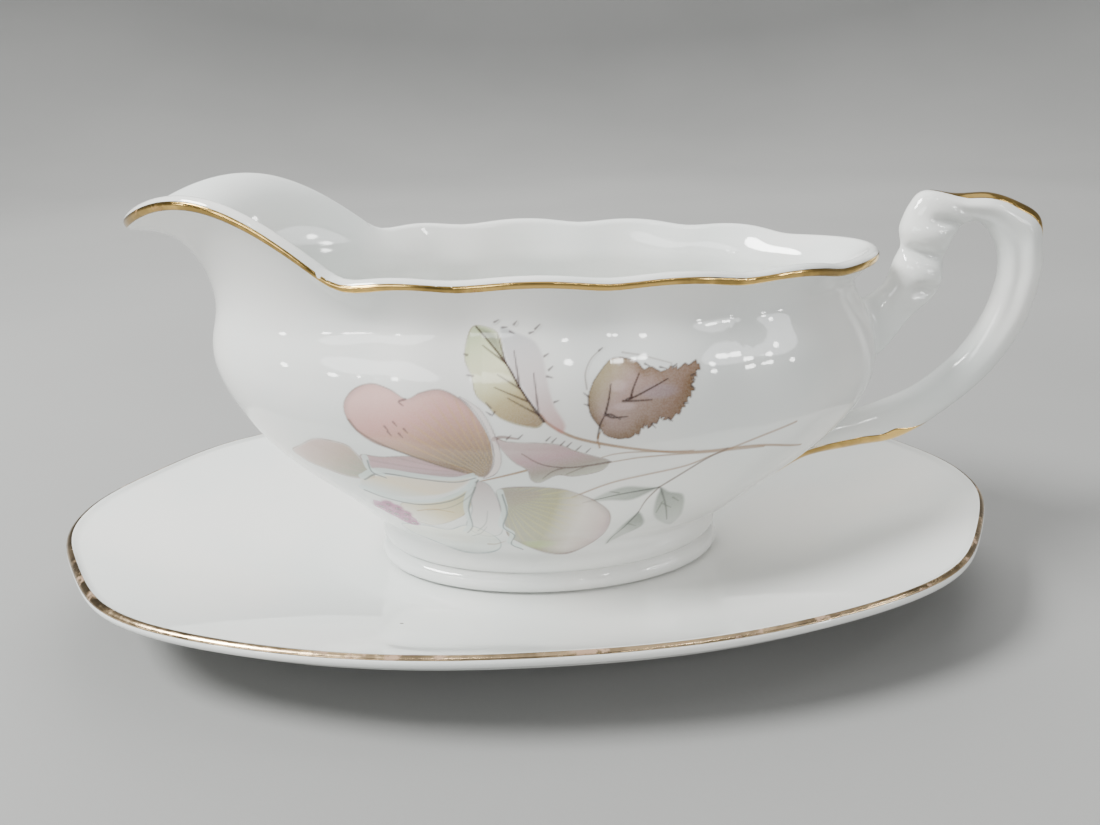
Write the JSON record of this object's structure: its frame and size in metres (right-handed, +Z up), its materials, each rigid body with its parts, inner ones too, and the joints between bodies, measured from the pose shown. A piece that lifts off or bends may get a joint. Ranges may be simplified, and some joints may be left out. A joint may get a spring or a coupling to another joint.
{
  "type": "gravy boat with underplate",
  "caption": "Porcelain gravy boat with a high pouring spout, a scroll handle and an oval foot, which lifts off its own oval underplate.",
  "frame": {"origin": "on the table, under the middle of the whole object's bounding box", "axes": "+X along the object towards the handle, -X towards the spout, +Z up"},
  "size_m": [0.246, 0.1536, 0.1032],
  "materials": {
    "plate_porcelain": "glossy white glaze with a gilded line along the rim",
    "bowl_porcelain": "glossy white glaze with a gilded rim and a printed spray of flowers and leaves",
    "foot_porcelain": "glossy white glaze",
    "handle_porcelain": "glossy white glaze with gilded ridges"
  },
  "bodies": {
    "underplate": {"underplate": "plate_porcelain"},
    "boat": {"boat_bowl": "bowl_porcelain", "boat_foot": "foot_porcelain", "boat_handle": "handle_porcelain"}
  },
  "joints": [
    {"name": "boat_lift", "type": "slide", "parent": "underplate", "child": "boat", "axis": [0, 0, 1], "range_m": [0, 0.12]}
  ]
}
